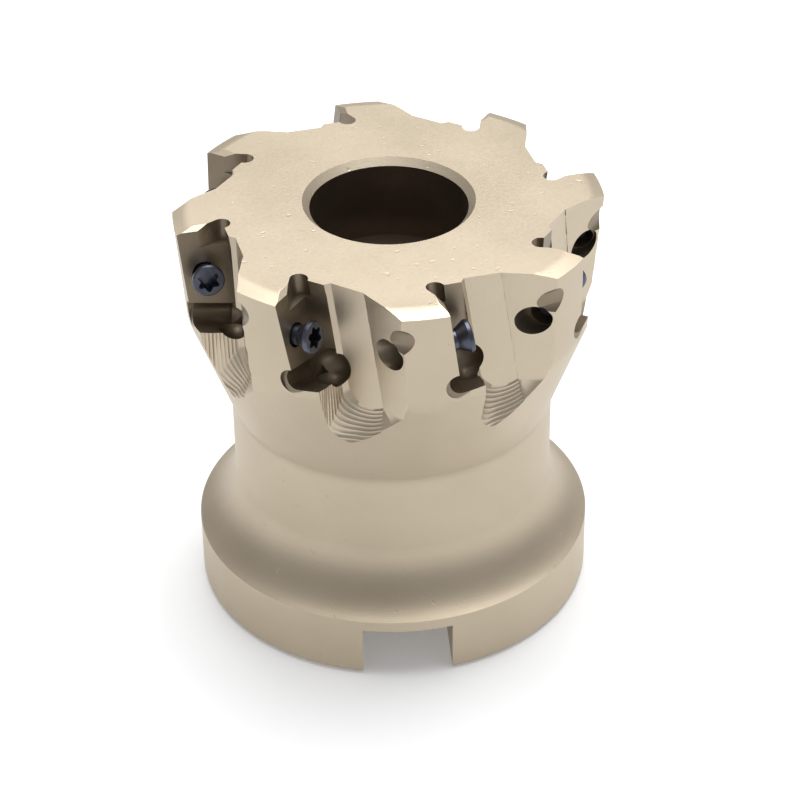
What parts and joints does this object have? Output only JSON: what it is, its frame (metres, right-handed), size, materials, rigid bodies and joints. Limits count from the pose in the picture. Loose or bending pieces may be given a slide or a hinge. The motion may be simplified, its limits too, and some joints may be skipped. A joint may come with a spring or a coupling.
{
  "type": "face mill",
  "caption": "Shell-type face mill body with a ring of screw-clamped insert seats, open gullets, a stepped arbor bore and drive slots across its back face.",
  "frame": {"origin": "centre of the back face, on the cutter's axis", "axes": "+Z along the cutter's axis towards the cutting face, +Y and -Y along the two drive slots"},
  "size_m": [0.0488, 0.0488, 0.05],
  "materials": {
    "cutter_body": "satin champagne-grey hard plating on machined and micro-blasted steel",
    "insert_screw": "blue-black oxide on turned steel"
  },
  "bodies": {
    "body": {"cutter_body": "cutter_body"},
    "screw_1": {"insert_screw_1": "insert_screw"},
    "screw_2": {"insert_screw_2": "insert_screw"},
    "screw_3": {"insert_screw_3": "insert_screw"},
    "screw_4": {"insert_screw_4": "insert_screw"},
    "screw_5": {"insert_screw_5": "insert_screw"},
    "screw_6": {"insert_screw_6": "insert_screw"},
    "screw_7": {"insert_screw_7": "insert_screw"},
    "screw_8": {"insert_screw_8": "insert_screw"}
  },
  "joints": [
    {"name": "screw_1_travel", "type": "slide", "parent": "body", "child": "screw_1", "axis": [-0.1886, 0.9703, 0.1513], "range_m": [-0.001, 0.004]},
    {"name": "screw_2_travel", "type": "slide", "parent": "body", "child": "screw_2", "axis": [-0.8195, 0.5528, 0.1513], "range_m": [-0.001, 0.004]},
    {"name": "screw_3_travel", "type": "slide", "parent": "body", "child": "screw_3", "axis": [-0.9703, -0.1886, 0.1513], "range_m": [-0.001, 0.004]},
    {"name": "screw_4_travel", "type": "slide", "parent": "body", "child": "screw_4", "axis": [-0.5528, -0.8195, 0.1513], "range_m": [-0.001, 0.004]},
    {"name": "screw_5_travel", "type": "slide", "parent": "body", "child": "screw_5", "axis": [0.1886, -0.9703, 0.1513], "range_m": [-0.001, 0.004]},
    {"name": "screw_6_travel", "type": "slide", "parent": "body", "child": "screw_6", "axis": [0.8195, -0.5528, 0.1513], "range_m": [-0.001, 0.004]},
    {"name": "screw_7_travel", "type": "slide", "parent": "body", "child": "screw_7", "axis": [0.9703, 0.1886, 0.1513], "range_m": [-0.001, 0.004]},
    {"name": "screw_8_travel", "type": "slide", "parent": "body", "child": "screw_8", "axis": [0.5528, 0.8195, 0.1513], "range_m": [-0.001, 0.004]}
  ]
}
